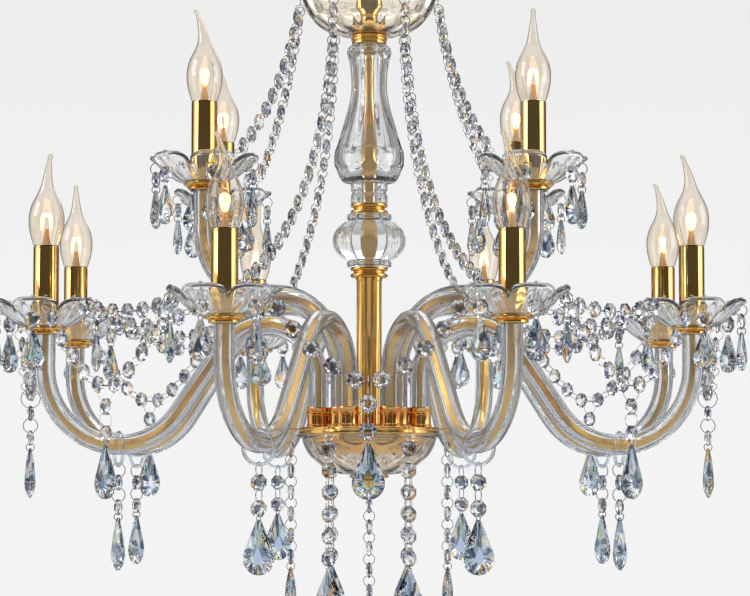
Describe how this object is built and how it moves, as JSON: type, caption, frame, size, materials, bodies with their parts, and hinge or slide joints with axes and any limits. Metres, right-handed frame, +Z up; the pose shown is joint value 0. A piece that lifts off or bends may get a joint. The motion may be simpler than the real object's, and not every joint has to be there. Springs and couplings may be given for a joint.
{
  "type": "two-tier crystal chandelier",
  "caption": "Two-tier chandelier with S-shaped clear glass arms, gold candle lamps, scalloped glass drip dishes, a ribbed vase column, and hanging strands of octagon and teardrop crystals.",
  "frame": {"origin": "centre of the hole in the hanging eye at the top, where the chain link hangs", "axes": "+Z up along the column, -Y towards the side that the picture shows, +Y along the hanging eye's hole"},
  "size_m": [0.7378, 0.7378, 0.7451],
  "materials": {
    "gilt_metal": "polished gold plating",
    "mirror_gold": "mirror gold plating on thin tube",
    "steel_rod": "zinc-plated steel",
    "clear_glass": "clear pressed and drawn glass",
    "cut_crystal": "faceted clear crystal",
    "bulb_glass": "clear bulb with a glowing filament",
    "white_plastic": "moulded heat-proof plastic",
    "wire_cover": "plastic-covered twin lead"
  },
  "bodies": {
    "chandelier": {"hanging_loop": "gilt_metal", "top_cap": "gilt_metal", "crown_dish": "clear_glass", "vase_ring": "gilt_metal", "vase": "clear_glass", "vase_collar": "clear_glass", "ball_caps": "gilt_metal", "glass_ball": "clear_glass", "stem_tube": "gilt_metal", "centre_rod": "steel_rod", "hub_plate": "gilt_metal", "arm_cups": "gilt_metal", "arm_nuts": "steel_rod", "wiring_cover": "gilt_metal", "terminal_block": "white_plastic", "hub_bowl": "clear_glass", "bowl_finial": "gilt_metal", "lower_arm_1": "clear_glass", "lower_arm_2": "clear_glass", "lower_arm_3": "clear_glass", "lower_arm_4": "clear_glass", "lower_arm_5": "clear_glass", "lower_arm_6": "clear_glass", "lower_arm_7": "clear_glass", "lower_arm_8": "clear_glass", "upper_arm_1": "clear_glass", "upper_arm_2": "clear_glass", "upper_arm_3": "clear_glass", "upper_arm_4": "clear_glass", "arm_conduits": "gilt_metal", "arm_wires": "wire_cover", "candle_pans": "gilt_metal", "bobeches": "clear_glass", "candle_sleeves": "mirror_gold", "lamp_holders": "white_plastic", "crown_strands": "cut_crystal", "bead_swags": "cut_crystal", "bobeche_drops": "cut_crystal", "hub_strands": "cut_crystal"},
    "bulb_1_lamp": {"bulb_1": "bulb_glass"},
    "bulb_2_lamp": {"bulb_2": "bulb_glass"},
    "bulb_3_lamp": {"bulb_3": "bulb_glass"},
    "bulb_4_lamp": {"bulb_4": "bulb_glass"},
    "bulb_5_lamp": {"bulb_5": "bulb_glass"},
    "bulb_6_lamp": {"bulb_6": "bulb_glass"},
    "bulb_7_lamp": {"bulb_7": "bulb_glass"},
    "bulb_8_lamp": {"bulb_8": "bulb_glass"},
    "bulb_9_lamp": {"bulb_9": "bulb_glass"},
    "bulb_10_lamp": {"bulb_10": "bulb_glass"},
    "bulb_11_lamp": {"bulb_11": "bulb_glass"},
    "bulb_12_lamp": {"bulb_12": "bulb_glass"},
    "ring_drop_1_pendant": {"ring_drop_1": "cut_crystal"},
    "ring_drop_2_pendant": {"ring_drop_2": "cut_crystal"},
    "ring_drop_3_pendant": {"ring_drop_3": "cut_crystal"},
    "ring_drop_4_pendant": {"ring_drop_4": "cut_crystal"},
    "ring_drop_5_pendant": {"ring_drop_5": "cut_crystal"},
    "ring_drop_6_pendant": {"ring_drop_6": "cut_crystal"},
    "ring_drop_7_pendant": {"ring_drop_7": "cut_crystal"},
    "ring_drop_8_pendant": {"ring_drop_8": "cut_crystal"},
    "centre_pendant": {"centre_drop": "cut_crystal"}
  },
  "joints": [
    {"name": "bulb_1_turn", "type": "hinge", "parent": "chandelier", "child": "bulb_1_lamp", "pos_m": [0.31597, 0.13088, -0.3152], "axis": [0, 0, 1], "range_deg": [-180, 0]},
    {"name": "bulb_2_turn", "type": "hinge", "parent": "chandelier", "child": "bulb_2_lamp", "pos_m": [0.13088, 0.31597, -0.3152], "axis": [0, 0, 1], "range_deg": [-180, 0]},
    {"name": "bulb_3_turn", "type": "hinge", "parent": "chandelier", "child": "bulb_3_lamp", "pos_m": [-0.13088, 0.31597, -0.3152], "axis": [0, 0, 1], "range_deg": [-180, 0]},
    {"name": "bulb_4_turn", "type": "hinge", "parent": "chandelier", "child": "bulb_4_lamp", "pos_m": [-0.31597, 0.13088, -0.3152], "axis": [0, 0, 1], "range_deg": [-180, 0]},
    {"name": "bulb_5_turn", "type": "hinge", "parent": "chandelier", "child": "bulb_5_lamp", "pos_m": [-0.31597, -0.13088, -0.3152], "axis": [0, 0, 1], "range_deg": [-180, 0]},
    {"name": "bulb_6_turn", "type": "hinge", "parent": "chandelier", "child": "bulb_6_lamp", "pos_m": [-0.13088, -0.31597, -0.3152], "axis": [0, 0, 1], "range_deg": [-180, 0]},
    {"name": "bulb_7_turn", "type": "hinge", "parent": "chandelier", "child": "bulb_7_lamp", "pos_m": [0.13088, -0.31597, -0.3152], "axis": [0, 0, 1], "range_deg": [-180, 0]},
    {"name": "bulb_8_turn", "type": "hinge", "parent": "chandelier", "child": "bulb_8_lamp", "pos_m": [0.31597, -0.13088, -0.3152], "axis": [0, 0, 1], "range_deg": [-180, 0]},
    {"name": "bulb_9_turn", "type": "hinge", "parent": "chandelier", "child": "bulb_9_lamp", "pos_m": [0.15981, 0.15981, -0.1767], "axis": [0, 0, 1], "range_deg": [-180, 0]},
    {"name": "bulb_10_turn", "type": "hinge", "parent": "chandelier", "child": "bulb_10_lamp", "pos_m": [-0.15981, 0.15981, -0.1767], "axis": [0, 0, 1], "range_deg": [-180, 0]},
    {"name": "bulb_11_turn", "type": "hinge", "parent": "chandelier", "child": "bulb_11_lamp", "pos_m": [-0.15981, -0.15981, -0.1767], "axis": [0, 0, 1], "range_deg": [-180, 0]},
    {"name": "bulb_12_turn", "type": "hinge", "parent": "chandelier", "child": "bulb_12_lamp", "pos_m": [0.15981, -0.15981, -0.1767], "axis": [0, 0, 1], "range_deg": [-180, 0]},
    {"name": "ring_drop_1_swing", "type": "hinge", "parent": "chandelier", "child": "ring_drop_1_pendant", "pos_m": [0.24668, 0.10218, -0.509], "axis": [0.9239, 0.3827, 0], "range_deg": [-25, 25]},
    {"name": "ring_drop_2_swing", "type": "hinge", "parent": "chandelier", "child": "ring_drop_2_pendant", "pos_m": [0.10218, 0.24668, -0.509], "axis": [0.3827, 0.9239, 0], "range_deg": [-25, 25]},
    {"name": "ring_drop_3_swing", "type": "hinge", "parent": "chandelier", "child": "ring_drop_3_pendant", "pos_m": [-0.10218, 0.24668, -0.509], "axis": [-0.3827, 0.9239, 0], "range_deg": [-25, 25]},
    {"name": "ring_drop_4_swing", "type": "hinge", "parent": "chandelier", "child": "ring_drop_4_pendant", "pos_m": [-0.24668, 0.10218, -0.509], "axis": [-0.9239, 0.3827, 0], "range_deg": [-25, 25]},
    {"name": "ring_drop_5_swing", "type": "hinge", "parent": "chandelier", "child": "ring_drop_5_pendant", "pos_m": [-0.24668, -0.10218, -0.509], "axis": [-0.9239, -0.3827, 0], "range_deg": [-25, 25]},
    {"name": "ring_drop_6_swing", "type": "hinge", "parent": "chandelier", "child": "ring_drop_6_pendant", "pos_m": [-0.10218, -0.24668, -0.509], "axis": [-0.3827, -0.9239, 0], "range_deg": [-25, 25]},
    {"name": "ring_drop_7_swing", "type": "hinge", "parent": "chandelier", "child": "ring_drop_7_pendant", "pos_m": [0.10218, -0.24668, -0.509], "axis": [0.3827, -0.9239, 0], "range_deg": [-25, 25]},
    {"name": "ring_drop_8_swing", "type": "hinge", "parent": "chandelier", "child": "ring_drop_8_pendant", "pos_m": [0.24668, -0.10218, -0.509], "axis": [0.9239, -0.3827, 0], "range_deg": [-25, 25]},
    {"name": "centre_drop_swing", "type": "hinge", "parent": "chandelier", "child": "centre_pendant", "pos_m": [0, 0, -0.554], "axis": [0, 1, 0], "range_deg": [-12, 12]}
  ]
}
